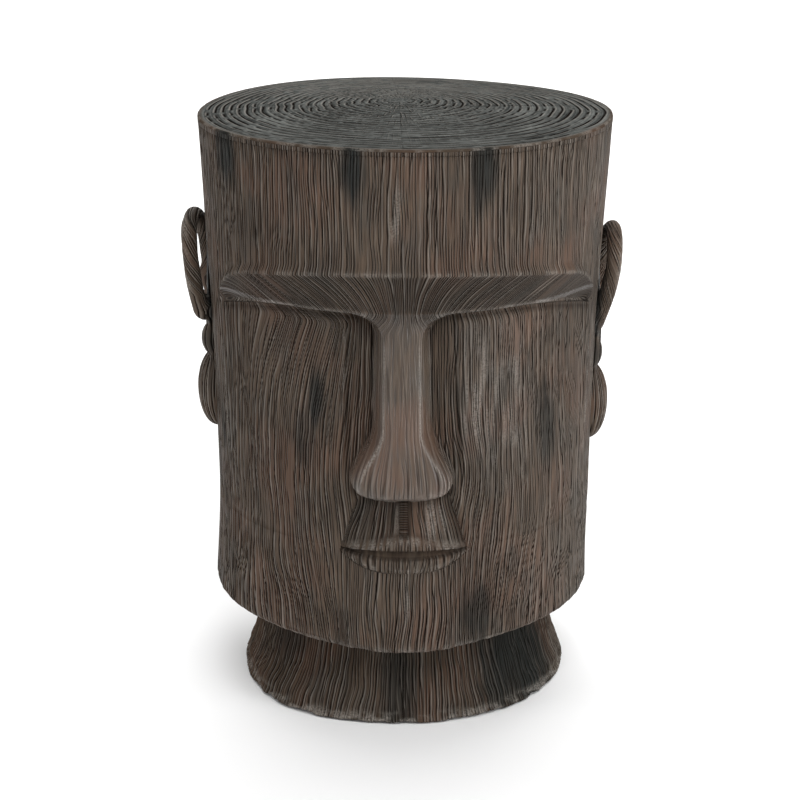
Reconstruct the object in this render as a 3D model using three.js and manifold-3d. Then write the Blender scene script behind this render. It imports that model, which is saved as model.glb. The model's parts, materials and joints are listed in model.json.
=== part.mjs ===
// A head-shaped side table of fibre-reinforced lightweight concrete, cast in halves.
// Millimetres, +Z up, face towards -Y, origin on the floor under the middle of the table.
import * as THREE from 'three';
import { mergeVertices } from 'three/addons/utils/BufferGeometryUtils.js';
import Module from 'manifold-3d';

const wasm = await Module();
wasm.setup();

// ---- driving dimensions ----
const height = 457;
const gap = 0.3; // between pieces that touch
const wall = 13; // thickness of the cast shells
const slabEdge = 5; // visible edge of the tabletop slab
const slabSpigot = 15; // part of the slab that sits down inside the walls
const waist = { radius: 150, height: 165 };
const topFlare = 9; // how much wider the walls are at the tabletop than at the waist
const jawFlare = 2.4;
const jaw = { low: 67, high: 74, chin: 23, edge: 7, underside: 76 };
const neck = { rim: 2, hole: 112, top: 100, thickness: 10 };
const plate = { radius: 124, low: 8.3, high: 18, vent: 18 };
const foot = { radius: 15, height: 8, circle: 100, screwHole: 2.2, ledge: 3, mouth: 4.75 };
const dowel = { radius: 3, inner: 141, outer: 161 };

// ---- face dimensions, measured along the surface and from the floor ----
const faceRadius = 152; // turns an angle into a distance along the surface
const face = { left: 67, right: 71, corner: 17, cornerDrop: 38 };
const brow = { crest: 366, droop: 9, lip: 336, proud: 3, back: 6, step: 4 };
const panel = { depth: 15, flat: 28, foot: 195 };
const nose = { top: 336, tip: 204, front: 15, foot: 25, wing: 42, fillet: 14, projection: 24, bridge: -6 };
const upperLip = { top: 196, halfTop: 34, halfBottom: 50, depth: 5 };
const mouth = { height: 151.5, half: 48, upper: 9, lower: 17, depth: 6 };
const philtrum = { offset: -1.5, half: 5.5, depth: 2.5 };

const degree = Math.PI / 180;
const clamp = THREE.MathUtils.clamp;
const lerp = THREE.MathUtils.lerp;
const smooth = (from, to, x) => THREE.MathUtils.smoothstep(x, from, to);

// ---- form of the head ----

// Radius of the plain barrel, narrowest at the waist.
function barrel(z) {
  if (z > waist.height) {
    return waist.radius + topFlare * ((z - waist.height) / (height - waist.height)) ** 1.5;
  }
  return waist.radius + jawFlare * ((waist.height - z) / (waist.height - jaw.low)) ** 2;
}

// The tabletop's outline is out of round, like a log's, and the wall below eases back to round.
function outOfRound(angle, z) {
  const lobes = 5 * Math.cos(angle + 176 * degree)
    + 3.5 * Math.cos(2 * angle - 118 * degree)
    + 1.3 * Math.cos(3 * angle + 97 * degree)
    + 1.4 * Math.cos(4 * angle - 101 * degree);
  return lobes * smooth(300, height, z);
}

function faceReach(angle) {
  return angle < 0 ? face.left : face.right;
}

// Upper edge of the brow: almost level, with rounded outer corners.
function crestHeight(angle) {
  const side = Math.abs(angle) / degree;
  const corner = clamp((side - faceReach(angle) + face.corner) / face.corner, 0, 1);
  const level = brow.crest - brow.droop * (side / 44) ** 2;
  return level - face.cornerDrop * (1 - Math.sqrt(1 - corner ** 2));
}

// Lower edge of the brow, over the eye panels.
function lipHeight(angle) {
  const side = Math.abs(angle) / degree;
  const lip = brow.lip - 10 * (Math.max(0, side - 30) / 34) ** 2;
  return Math.min(lip, crestHeight(angle) - 2);
}

// Lower edge of the jaw: level, with a slightly lower chin.
function jawHeight(angle) {
  return jaw.high - (jaw.high - jaw.low) * Math.exp(-((angle / degree / jaw.chin) ** 2));
}

function upperLipHeight(x) {
  return mouth.height + 2.5 + mouth.upper * Math.max(0, 1 - (x / mouth.half) ** 2);
}

function lowerLipHeight(x) {
  return mouth.height - 2.5 - mouth.lower * Math.max(0, 1 - Math.abs(x / mouth.half) ** 3);
}

// Eye and cheek panels: deepest under the brow, fading out towards the mouth and the sides.
function panelRelief(angle, z) {
  const side = Math.abs(angle) / degree;
  const across = clamp((side - panel.flat) / (faceReach(angle) - panel.flat), 0, 1);
  const down = clamp((z - panel.foot) / (brow.lip - panel.foot), 0, 1);
  return -panel.depth * (1 - across ** 2.2) * down;
}

// Brow: a ledge proud of the forehead whose face leans back down to the lip.
function browRelief(angle, z) {
  const crest = crestHeight(angle);
  const lip = lipHeight(angle);
  if (z >= crest) {
    return brow.proud * (1 - smooth(crest + 1, crest + 10, z));
  }
  const face = lerp(-brow.back, brow.proud, clamp((z - lip) / (crest - lip), 0, 1));
  return lerp(panelRelief(angle, z), face, smooth(lip - brow.step, lip, z));
}

// Nose: a flat-fronted wedge that widens into wings and ends in an undercut.
function noseRelief(x, z, ground) {
  const rise = clamp((nose.top - z) / (nose.top - nose.tip), 0, 1);
  const ridge = nose.bridge + (nose.projection - nose.bridge) * rise ** 1.1;
  const flare = 1 - smooth(212, 250, z);
  const fillet = clamp((z - brow.lip + nose.fillet) / nose.fillet, 0, 1);
  const half = lerp(nose.foot, nose.wing, flare) + nose.fillet * (1 - Math.sqrt(1 - fillet ** 2));
  const across = clamp((Math.abs(x) - nose.front) / (half - nose.front), 0, 1);
  const section = lerp(1 - smooth(0, 1, across), 1 - across ** 2.4, flare);
  const bottom = nose.tip - 4 + 10 * (x / nose.wing) ** 4;
  const ending = smooth(bottom - 5, bottom + 1, z);
  const starting = 1 - smooth(nose.top, nose.top + 14, z);
  return lerp(ground, Math.max(ground, ridge), section * ending * starting);
}

// Hollow over the mouth, with the philtrum's groove in its middle.
function upperLipRelief(x, z) {
  const half = lerp(upperLip.halfTop, upperLip.halfBottom, (upperLip.top - z) / 44);
  const across = 1 - smooth(half - 6, half + 2, Math.abs(x));
  const up = smooth(upperLipHeight(x) - 2, upperLipHeight(x) + 6, z) * (1 - smooth(194, 204, z));
  const groove = 1 - smooth(philtrum.half - 2, philtrum.half + 1, Math.abs(x - philtrum.offset));
  return -(upperLip.depth + philtrum.depth * groove) * across * up;
}

// Lips: two soft bands that part at the mouth's slit.
function lipsRelief(x, z) {
  const across = Math.max(0, 1 - (x / (mouth.half + 3)) ** 2);
  const top = upperLipHeight(x);
  const bottom = lowerLipHeight(x);
  if (z > top || z < bottom || across === 0) {
    return 0;
  }
  const upper = z > mouth.height;
  const share = upper ? (top - z) / (top - mouth.height) : (z - bottom) / (mouth.height - bottom);
  const fullness = Math.sin(Math.PI * Math.min(1, share * 1.05)) * (upper ? 3 : 6);
  const slit = mouth.depth * smooth(0.82, 1, share);
  return (fullness - slit) * across ** 0.5;
}

function surfaceRadius(angle, z) {
  const plain = barrel(z) + outOfRound(angle, z);
  const reach = faceReach(angle) * degree;
  const inFace = 1 - smooth(reach - 5 * degree, reach, Math.abs(angle));
  if (inFace === 0) {
    return plain;
  }
  const x = angle * faceRadius;
  let relief = noseRelief(x, z, browRelief(angle, z));
  relief += upperLipRelief(x, z) + lipsRelief(x, z);
  return plain + relief * inFace;
}

// ---- closed meshes from rings of points ----

function onSurface(angle, radius, z) {
  return new THREE.Vector3(radius * Math.sin(angle), -radius * Math.cos(angle), z);
}

// A closed solid through rings of equal length, listed upwards, each closed by a fan at its end.
function loft(rings) {
  const count = rings[0].length;
  const points = rings.flat();
  const triangles = [];
  for (let level = 0; level + 1 < rings.length; level += 1) {
    for (let i = 0; i < count; i += 1) {
      const a = level * count + i;
      const b = level * count + (i + 1) % count;
      triangles.push(a, b, b + count, a, b + count, a + count);
    }
  }
  const capAt = (level, flip) => {
    const middle = new THREE.Vector3(0, 0, 0);
    rings[level].forEach((point) => middle.addScaledVector(point, 1 / count));
    points.push(middle);
    for (let i = 0; i < count; i += 1) {
      const a = level * count + i;
      const b = level * count + (i + 1) % count;
      triangles.push(points.length - 1, flip ? b : a, flip ? a : b);
    }
  };
  capAt(0, true);
  capAt(rings.length - 1, false);
  const geometry = new THREE.BufferGeometry().setFromPoints(points);
  geometry.setIndex(triangles);
  return geometry;
}

// ---- solids ----

function solidFrom(geometry) {
  const plain = geometry.clone();
  plain.deleteAttribute('normal');
  plain.deleteAttribute('uv');
  const merged = mergeVertices(plain, 1e-4);
  return new wasm.Manifold(new wasm.Mesh({
    numProp: 3,
    vertProperties: new Float32Array(merged.attributes.position.array),
    triVerts: new Uint32Array(merged.index.array),
  }));
}

function geometryFrom(solid) {
  const mesh = solid.getMesh();
  const geometry = new THREE.BufferGeometry();
  geometry.setAttribute('position', new THREE.BufferAttribute(mesh.vertProperties, 3));
  geometry.setIndex(new THREE.BufferAttribute(mesh.triVerts, 1));
  geometry.computeVertexNormals();
  return geometry;
}

function block(low, high) {
  const size = [0, 1, 2].map((i) => high[i] - low[i]);
  const middle = [0, 1, 2].map((i) => (high[i] + low[i]) / 2);
  return solidFrom(new THREE.BoxGeometry(...size).translate(...middle));
}

function drum(radius, low, high, sides = 24) {
  const geometry = new THREE.CylinderGeometry(radius, radius, high - low, sides);
  return solidFrom(geometry.rotateX(Math.PI / 2).translate(0, 0, (high + low) / 2));
}

// A turned ring or disc whose profile lists [radius, height] pairs.
function turned(profile, sides) {
  const points = profile.map(([radius, z]) => new THREE.Vector2(radius, z));
  const geometry = new THREE.LatheGeometry(points, sides);
  return solidFrom(geometry.rotateX(Math.PI / 2));
}

function ball(radii, centre, across = 12, up = 8) {
  const geometry = new THREE.SphereGeometry(1, across, up);
  return solidFrom(geometry.scale(...radii).translate(...centre));
}

// ---- head castings ----

const frontColumns = [0, 2.8, 5.6, 7.8, 10, 12.5, 16, 19.5, 24, 30, 37, 44, 50, 56, 61, 64, 67, 71, 78, 85];
const backColumns = [98, 111, 124, 138, 152, 166];
const sideColumns = [...frontColumns, ...backColumns];
const columns = [...sideColumns.slice(1).reverse().map((angle) => -angle), ...sideColumns, 180]
  .map((angle) => angle * degree);

// Level lines of the head from the jaw up: they follow the lips, the nose and the brow.
const levels = [
  (a) => jawHeight(a) + 8,
  () => 106,
  () => 128,
  (a) => lowerLipHeight(a * faceRadius),
  (a) => lerp(lowerLipHeight(a * faceRadius), mouth.height, 0.35),
  (a) => lerp(lowerLipHeight(a * faceRadius), mouth.height, 0.78),
  () => mouth.height,
  () => mouth.height + 1.5,
  (a) => upperLipHeight(a * faceRadius),
  () => 172,
  () => 194,
  () => 199,
  () => 204,
  () => 212,
  () => 224,
  () => 238,
  () => 254,
  (a) => lerp(254, lipHeight(a), 0.3),
  (a) => lerp(254, lipHeight(a), 0.6),
  (a) => lerp(254, lipHeight(a), 0.85),
  (a) => lipHeight(a) - brow.step,
  (a) => lipHeight(a),
  (a) => (lipHeight(a) + crestHeight(a)) / 2,
  (a) => crestHeight(a),
  (a) => crestHeight(a) + 4,
  (a) => Math.max(crestHeight(a) + 10, 352),
  () => 395,
  () => 426,
  () => height - slabEdge - gap,
];

function headForm() {
  const ring = (radiusAt, heightAt) => columns.map((a) => onSurface(a, radiusAt(a), heightAt(a)));
  const rings = [
    ring(() => 124, () => jaw.underside),
    ring(() => barrel(jaw.low) - jaw.edge, jawHeight),
    ring(() => barrel(jaw.low) - 2, (a) => jawHeight(a) + 2),
  ];
  levels.forEach((level) => rings.push(ring((a) => surfaceRadius(a, level(a)), level)));
  return solidFrom(loft(rings));
}

// The hollow follows the face loosely, so the wall stays about as thick under the eye panels.
function hollowForm(shrink) {
  const angles = Array.from({ length: 24 }, (_, i) => (i + 0.5) * 15 * degree - Math.PI);
  const heights = [jaw.underside + wall, 104, 150, 250, 300, 350, 400, height + 5];
  const inward = (a, z) => panel.depth
    * (1 - smooth(48, 84, Math.abs(a) / degree)) * smooth(150, 250, z) * (1 - smooth(352, 400, z));
  return solidFrom(loft(heights.map((z) => angles.map((a) => {
    const radius = barrel(z) + outOfRound(a, z) - wall - inward(a, z) - shrink;
    return onSurface(a, radius, z);
  }))));
}

const dowelPlaces = [
  { name: 'front', y: -6, drop: 60 },
  { name: 'back', y: 36, drop: -26 },
];
const ears = [
  { name: 'left', side: -1, middle: 292 },
  { name: 'right', side: 1, middle: 281 },
];

// A rod along X on one side of the head.
function sideRod(ear, place, radius, inner, outer) {
  const geometry = new THREE.CylinderGeometry(radius, radius, outer - inner, 12);
  geometry.rotateZ(Math.PI / 2);
  geometry.translate(ear.side * (outer + inner) / 2, place.y, ear.middle - place.drop);
  return solidFrom(geometry);
}

function headShells() {
  let casting = headForm().subtract(hollowForm(0)).subtract(drum(neck.hole, 0, neck.top, 48));
  ears.forEach((ear) => dowelPlaces.forEach((place) => {
    casting = casting.subtract(sideRod(ear, place, dowel.radius + gap, dowel.inner - gap, 200));
  }));
  const front = casting.intersect(block([-200, -200, 0], [200, -gap / 2, 500]));
  const back = casting.intersect(block([-200, gap / 2, 0], [200, 200, 500]));
  return { front, back };
}

// ---- tabletop ----

function topSlab() {
  const outline = Array.from({ length: 72 }, (_, i) => {
    const angle = i * 5 * degree;
    const radius = barrel(height) + outOfRound(angle, height);
    return new THREE.Vector2(radius * Math.sin(angle), -radius * Math.cos(angle));
  });
  const options = { depth: slabEdge, bevelEnabled: false };
  const edge = new THREE.ExtrudeGeometry(new THREE.Shape(outline), options);
  const spigotLow = height - slabEdge - slabSpigot;
  const spigot = hollowForm(gap).intersect(block([-200, -200, spigotLow], [200, 200, height - 1]));
  return solidFrom(edge.translate(0, 0, height - slabEdge)).add(spigot);
}

// ---- foot ----

function neckBase() {
  const flare = [[134.5, neck.rim], [132, 6], [131, 13], [128, 20], [125.6, 28], [119, 46], [115.8, 62]];
  const spigot = neck.hole - gap;
  const bore = spigot - neck.thickness;
  const profile = [
    ...flare,
    [115, jaw.underside - gap],
    [spigot, jaw.underside - gap],
    [spigot, neck.top],
    [bore, neck.top],
    [bore + 1, 60],
    [plate.radius - 12, plate.high + gap],
    [plate.radius + gap, plate.high + gap],
    [plate.radius + gap, neck.rim],
    flare[0],
  ];
  return turned(profile, 42);
}

const footPlaces = [45, 135, 225, 315].map((angle) => [
  foot.circle * Math.cos(angle * degree),
  foot.circle * Math.sin(angle * degree),
]);

function basePlate() {
  let board = drum(plate.radius, plate.low, plate.high, 42).subtract(drum(plate.vent, 0, 30, 20));
  footPlaces.forEach(([x, y]) => {
    board = board.subtract(drum(foot.screwHole, 0, plate.high - 1.5, 10).translate([x, y, 0]));
  });
  return board;
}

function rubberFoot() {
  const profile = [
    [foot.mouth, 0],
    [foot.radius - 1, 0],
    [foot.radius, 1],
    [foot.radius - 1, foot.height],
    [foot.screwHole, foot.height],
    [foot.screwHole, foot.ledge],
    [foot.mouth, foot.ledge],
    [foot.mouth, 0],
  ];
  return turned(profile, 16);
}

function footScrew() {
  const shank = foot.screwHole - gap;
  const profile = [
    [0, 0.9],
    [foot.mouth - 0.6, 0.9],
    [foot.mouth - 0.6, foot.ledge - gap],
    [shank, foot.ledge - gap],
    [shank, 14],
    [0, 16],
  ];
  return turned(profile, 10);
}

// ---- ears ----

// A point beside the head: how far back, how high above the ear's middle, how far off the surface.
function beside(ear, back, up, proud) {
  const z = ear.middle + up;
  return new THREE.Vector3(ear.side * (Math.sqrt(barrel(z) ** 2 - back ** 2) + proud), back, z);
}

function rolledRim(ear) {
  const route = [
    [-20, 8, 5], [-24, 32, 9], [-21, 57, 11], [-6, 76, 10], [14, 79, 9],
    [31, 62, 9], [37, 30, 8], [34, 0, 7], [24, -30, 5],
  ];
  const curve = new THREE.CatmullRomCurve3(route.map((place) => beside(ear, ...place)));
  const round = new THREE.Shape(new THREE.EllipseCurve(0, 0, 9, 9).getPoints(8).slice(0, 8));
  return solidFrom(new THREE.ExtrudeGeometry(round, { extrudePath: curve, steps: 16, bevelEnabled: false }));
}

// The main body of a solid, without any sliver that a cut along a curved face leaves.
function mainBody(solid) {
  return solid.decompose().reduce((best, body) => (body.volume() > best.volume() ? body : best));
}

// The plain barrel beside the ears, a gap larger than the castings.
function earSeat() {
  const angles = Array.from({ length: 72 }, (_, i) => i * 5 * degree);
  const heights = [184, 214, 244, 285, 352, 395, 426];
  return solidFrom(loft(heights.map((z) => angles.map((a) => {
    return onSurface(a, barrel(z) + outOfRound(a, z) + gap, z);
  }))));
}

function earSolid(ear) {
  const at = (...place) => beside(ear, ...place).toArray();
  let solid = rolledRim(ear)
    .add(ball([9.5, 9, 9.5], at(-20, 8, 5)))
    .add(ball([10, 11, 15], at(-15, -13, 0)))
    .add(ball([15, 23, 32], at(-1, -58, 0), 14, 10))
    .add(ball([8, 30, 68], at(7, 10, 0), 14, 10))
    .subtract(earSeat());
  dowelPlaces.forEach((place) => {
    solid = solid.subtract(sideRod(ear, place, dowel.radius + gap, dowel.inner, dowel.outer + gap));
  });
  return mainBody(solid);
}

// ---- the table ----

const finish = (color, roughness, metalness = 0) => ({ color, roughness, metalness });
const brownCasting = finish(0x564c44, 0.62);
const greyCasting = finish(0x5d5d5b, 0.66);
const rawCasting = finish(0x8d8a84, 0.9);
const glassFibre = finish(0xc9c6bb, 0.85);
const blackRubber = finish(0x1c1c1c, 0.8);
const zincSteel = finish(0xa9abad, 0.35, 1);
const fibreRod = finish(0xb9b28e, 0.55);

const assembly = new THREE.Group();

function place(name, solid, look) {
  const mesh = new THREE.Mesh(geometryFrom(solid), new THREE.MeshStandardMaterial(look));
  mesh.name = name;
  assembly.add(mesh);
  return mesh;
}

const shells = headShells();
place('face_shell', shells.front, brownCasting);
place('back_shell', shells.back, brownCasting);
place('top_slab', topSlab(), greyCasting);
place('neck_base', neckBase(), brownCasting);
place('base_plate', basePlate(), rawCasting);

ears.forEach((ear) => {
  place(`${ear.name}_ear`, earSolid(ear), brownCasting);
  dowelPlaces.forEach((where) => {
    const rod = sideRod(ear, where, dowel.radius, dowel.inner, dowel.outer);
    place(`${ear.name}_ear_dowel_${where.name}`, rod, fibreRod);
  });
});

footPlaces.forEach(([x, y], i) => {
  place(`rubber_foot_${i + 1}`, rubberFoot(), blackRubber).position.set(x, y, 0);
  place(`foot_screw_${i + 1}`, footScrew(), zincSteel).position.set(x, y, 0);
});

// Glass-fibre layers on the inside of the castings, and strips across the two seams.
const layer = { thickness: 2.5, low: 106, high: 424, seam: 24 };
const insideLayers = {
  face_lining: [[-200, -200, layer.low], [200, -layer.seam - 1, layer.high]],
  back_lining: [[-200, layer.seam + 1, layer.low], [200, 200, layer.high]],
  seam_strip_left: [[-200, -layer.seam, layer.low], [0, layer.seam, layer.high]],
  seam_strip_right: [[0, -layer.seam, layer.low], [200, layer.seam, layer.high]],
};
Object.entries(insideLayers).forEach(([name, [low, high]]) => {
  const solid = hollowForm(gap).subtract(hollowForm(gap + layer.thickness)).intersect(block(low, high));
  place(name, solid, glassFibre);
});
const underSlab = height - slabEdge - slabSpigot - gap;
const topLayer = block([-200, -200, underSlab - layer.thickness], [200, 200, underSlab]);
place('top_lining', hollowForm(6).intersect(topLayer), glassFibre);

// The nose stands out in front, so the assembly moves back until the origin is under its middle.
const middle = new THREE.Box3().setFromObject(assembly).getCenter(new THREE.Vector3());
assembly.position.set(-middle.x, -middle.y, 0);
const table = new THREE.Group();
table.add(assembly);

export default table;
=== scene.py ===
"""Looks of the head-shaped side table: fine carved castings, finishes, studio and camera."""
import json
import math
from types import SimpleNamespace as Named

import bpy
import numpy as np
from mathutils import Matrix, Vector


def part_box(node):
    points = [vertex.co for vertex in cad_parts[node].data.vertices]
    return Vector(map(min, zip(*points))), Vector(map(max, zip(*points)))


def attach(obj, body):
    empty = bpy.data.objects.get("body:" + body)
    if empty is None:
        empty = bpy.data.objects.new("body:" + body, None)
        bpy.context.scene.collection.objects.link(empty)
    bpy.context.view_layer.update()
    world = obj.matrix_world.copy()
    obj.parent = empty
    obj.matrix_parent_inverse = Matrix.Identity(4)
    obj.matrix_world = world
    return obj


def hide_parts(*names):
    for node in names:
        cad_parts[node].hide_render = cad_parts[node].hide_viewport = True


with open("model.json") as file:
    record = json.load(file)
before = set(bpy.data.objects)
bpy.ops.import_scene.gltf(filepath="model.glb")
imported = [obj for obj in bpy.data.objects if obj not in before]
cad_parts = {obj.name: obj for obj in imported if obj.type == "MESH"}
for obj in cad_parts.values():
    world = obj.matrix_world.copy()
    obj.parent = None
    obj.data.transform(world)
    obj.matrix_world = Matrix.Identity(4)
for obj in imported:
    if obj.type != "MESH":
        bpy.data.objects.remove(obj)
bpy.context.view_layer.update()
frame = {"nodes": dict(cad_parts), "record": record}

MM = 0.001
DEGREE = math.pi / 180
FULL_TURN = 2 * math.pi

# ---- places read from the frame, in millimetres ----
neck_low, neck_high = (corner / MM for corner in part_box("neck_base"))
AXIS = np.array([(neck_low.x + neck_high.x) / 2, (neck_low.y + neck_high.y) / 2, 0.0])
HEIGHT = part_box("top_slab")[1].z / MM
EAR_TOP = 88  # an ear's highest point above its middle
EAR_MIDDLE = {side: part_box(f"{side}_ear")[1].z / MM - EAR_TOP for side in ("left", "right")}
NECK_RIM = neck_low.z
NECK_TOP = neck_high.z

# ---- driving sizes of the head, in millimetres and degrees ----
SLAB_EDGE = 5
SPIGOT = 15
HIDDEN_GAP = 0.05
WALL = 13
WAIST = Named(radius=150, height=165)
TOP_FLARE = 9
JAW_FLARE = 2.4
JAW = Named(low=67, high=74, chin=23, edge=5, underside=76, seat=124, lean=2.3)
NECK_HOLE = 112
FACE_RADIUS = 152  # nominal: x on the face is this times the angle
FACE = Named(left=67, right=71, corner=17, corner_drop=31)
BROW = Named(crest=366, droop=9, lip=336, proud=3, back=6, step=4)
PANEL = Named(depth=15, flat=28, foot=195)
NOSE = Named(
    middle=-1.5, tip=197, front=12.5, foot=24.5, wing_front=27, wing=41.5,
    projection=24, bridge=-6,
)
SOCKET = Named(corner=22, corner_drop=17, crease=46, depth=7, step=2.2)  # hollows beside the nose
UPPER_LIP = Named(top=196, half_top=36, half_bottom=49, depth=5)
MOUTH = Named(height=151.5, half=48, upper=7.5, lower=15, parting=4.6, depth=4)
PHILTRUM = Named(offset=-0.3, half=5.5, top=188, depth=4)
FOLD = Named(top=205, bottom=152, inner=39, outer=54, half=3.2, rise=2.2)
FINE_LINE = Named(spacing=2.0, width=0.42)
BOLD_LINE = Named(spacing=5.0, width=0.2)
BAR_SPACING = 2.0  # between the small level cuts in the philtrum


# ---- numbers that vary smoothly ----

def smooth(low, high, x):
    t = np.clip((x - low) / (high - low), 0, 1)
    return t * t * (3 - 2 * t)


def lerp(a, b, t):
    return a + (b - a) * t


def near(x, middle, spread):
    """1 where x is at the middle, falling to 0 a few spreads away."""
    return np.exp(-(((x - middle) / spread) ** 2))


def span(low, full, fading, high, x):
    """Rises from low to full, then falls from fading to high."""
    return smooth(low, full, x) * (1 - smooth(fading, high, x))


def lattice_noise(seed, across, along, cells=512):
    """Random field from -1 to 1 with coordinates in cells; it repeats after `cells` across."""
    rows = 128
    table = np.random.default_rng(seed).uniform(-1, 1, (cells, rows))
    i = np.floor(across).astype(int)
    j = np.floor(along).astype(int)
    u = smooth(0, 1, across - i)
    v = smooth(0, 1, along - j)
    low = lerp(table[i % cells, j % rows], table[(i + 1) % cells, j % rows], u)
    high = lerp(table[i % cells, (j + 1) % rows], table[(i + 1) % cells, (j + 1) % rows], u)
    return lerp(low, high, v)


def noise_around(seed, angle, spacing, along=0, length=1, radius=FACE_RADIUS):
    """Noise on a round wall that closes on itself after a full turn."""
    cells = round(FULL_TURN * radius / spacing)
    return lattice_noise(seed, angle / FULL_TURN * cells, along / length, cells)


def comb(seed, angle, spacing, along, length, radius=FACE_RADIUS):
    """Carved lines about `spacing` apart: a phase that is whole on each line, and their presence."""
    cells = round(FULL_TURN * radius / spacing)
    phase = angle / FULL_TURN * cells
    phase = phase + 0.8 * noise_around(seed, angle, 5 * spacing, along, 1.4 * length, radius)
    phase = phase + 0.1 * noise_around(seed + 2, angle, 2 * spacing, along, 12, radius)
    return phase, smooth(-0.7, 0.1, lattice_noise(seed + 1, phase, along / length, cells))


def cut(phase, width):
    """1 in the middle of each carved line, 0 between them."""
    return np.exp(-((np.sin(math.pi * phase) / width) ** 2))


def line_depth(fine, bold, fine_depth, bold_depth):
    """Depth of the two sets of carved lines, each given by its phase and presence."""
    fine_cut = fine_depth * fine[1] * cut(fine[0], FINE_LINE.width)
    return fine_cut + bold_depth * bold[1] * cut(bold[0], BOLD_LINE.width)


# ---- form of the head ----

def barrel(z):
    up = np.clip((z - WAIST.height) / (HEIGHT - WAIST.height), 0, 2)
    down = np.clip((WAIST.height - z) / (WAIST.height - JAW.low), 0, 2)
    return WAIST.radius + TOP_FLARE * up ** 1.5 + JAW_FLARE * down ** 2


def out_of_round(angle, z):
    """The top is out of round, like a log, and the jaw leans a little to the left."""
    lobes = 0
    for share, turns, start in ((5, 1, 176), (3.5, 2, -118), (1.3, 3, 97), (1.4, 4, -101)):
        lobes = lobes + share * np.cos(turns * angle + start * DEGREE)
    lean = -JAW.lean * np.sin(angle) * (1 - smooth(JAW.low, WAIST.height, z))
    return lobes * smooth(300, HEIGHT, z) + lean


def face_reach(angle):
    return np.where(angle < 0, FACE.left, FACE.right)


def side_of(angle):
    """Degrees away from the middle of the face."""
    return np.abs(angle) / DEGREE


def crest_height(angle):
    """Upper edge of the brow: almost level, with rounded outer corners."""
    side = side_of(angle)
    corner = np.clip((side - face_reach(angle) + FACE.corner) / FACE.corner, 0, 1)
    level = BROW.crest - BROW.droop * (side / 44) ** 2
    return level - FACE.corner_drop * (1 - np.sqrt(1 - corner ** 2))


def lip_height(angle):
    """Lower edge of the brow, over the eye panels."""
    lip = BROW.lip - 10 * (np.maximum(0, side_of(angle) - 30) / 34) ** 2
    return np.minimum(lip, crest_height(angle) - 2)


def jaw_height(angle):
    return JAW.high - (JAW.high - JAW.low) * near(side_of(angle), 0, JAW.chin)


def upper_lip_height(x):
    bow = 0.4 * np.maximum(0, 1 - (x / MOUTH.half) ** 2) + 0.6 * near(x, 2, 19)
    return MOUTH.height + 1.5 + MOUTH.upper * bow


def lower_lip_height(x):
    return MOUTH.height - 2.5 - MOUTH.lower * np.maximum(0, 1 - np.abs(x / MOUTH.half) ** 3)


def parting_height(x):
    """Lower edge of the smooth strip between the lips."""
    return MOUTH.height - MOUTH.parting * np.maximum(0, 1 - (x / MOUTH.half) ** 2)


def in_face(angle):
    reach = face_reach(angle)
    return 1 - smooth(reach - 5, reach, side_of(angle))


def panel_relief(angle, z):
    """Eye and cheek panels: deepest under the brow, fading out to the mouth and the sides."""
    reach = face_reach(angle)
    across = np.clip((side_of(angle) - PANEL.flat) / (reach - PANEL.flat), 0, 1)
    down = np.clip((z - PANEL.foot) / (BROW.lip - PANEL.foot), 0, 1)
    return -PANEL.depth * (1 - across ** 2.2) * down


def nose_off(x):
    return np.abs(x - NOSE.middle)


def nose_flare(z):
    """0 along the straight nose, growing to 1 where the wings are widest."""
    return 1 - smooth(210, 250, z)


def nose_edge(z):
    """Half width of the nose's front."""
    return lerp(NOSE.front, NOSE.wing_front, nose_flare(z))


def nose_foot(z):
    """Half width of the nose where its sides meet the face."""
    return lerp(NOSE.foot, NOSE.wing, nose_flare(z))


def above_wings(z):
    return smooth(205, 225, z)


def nose_bottom(x):
    """Lower edge of the nose, rising to the tips of the wings."""
    return NOSE.tip + 13 * np.minimum(1, nose_off(x) / NOSE.wing) ** 2.6


def above_nostrils(x, z):
    bottom = nose_bottom(x)
    return smooth(bottom - 3.5, bottom + 1.5, z)


def nose_ridge(z):
    rise = np.clip((BROW.lip - z) / (BROW.lip - NOSE.tip), 0, 1)
    return NOSE.bridge + (NOSE.projection - NOSE.bridge) * rise ** 1.1


def socket_edge(x, z, lip):
    """Place on the edge round the hollows under the brow and beside the nose.

    The first number is 0 at the foot of the edge and 1 at its top; the second is 0 at the
    foot and grows to 1 out in the hollow.
    """
    across = np.maximum(0, 1 - (nose_off(x) - nose_foot(z)) / SOCKET.corner)
    down = np.maximum(0, 1 - (lip - BROW.step - z) / SOCKET.corner_drop)
    reach = np.hypot(across, down)
    wide = (nose_foot(z) - nose_edge(z)) / SOCKET.corner
    narrow = BROW.step / SOCKET.corner_drop
    width = (wide * across ** 2 + narrow * down ** 2) / np.maximum(reach ** 2, 0.01)
    return (reach - 1) / np.maximum(width, 0.05), 1 - reach


def nose_share(x, z):
    """1 on the nose's front, falling to 0 at its foot and at the brow."""
    climb, _ = socket_edge(x, z, BROW.lip)
    return np.clip(climb, 0, 1) * above_nostrils(x, z) * (z < BROW.lip)


def floor_relief(angle, z):
    """Eye and cheek panels, with the hollows that fall from a crease towards the nose."""
    x = angle * FACE_RADIUS
    foot = nose_foot(z)
    fall = np.clip((SOCKET.crease - nose_off(x)) / np.maximum(SOCKET.crease - foot, 3), 0, 1)
    sunk = (SOCKET.depth * fall + SOCKET.step * smooth(0, 0.06, fall)) * smooth(200, 240, z)
    return panel_relief(angle, z) - sunk


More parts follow.
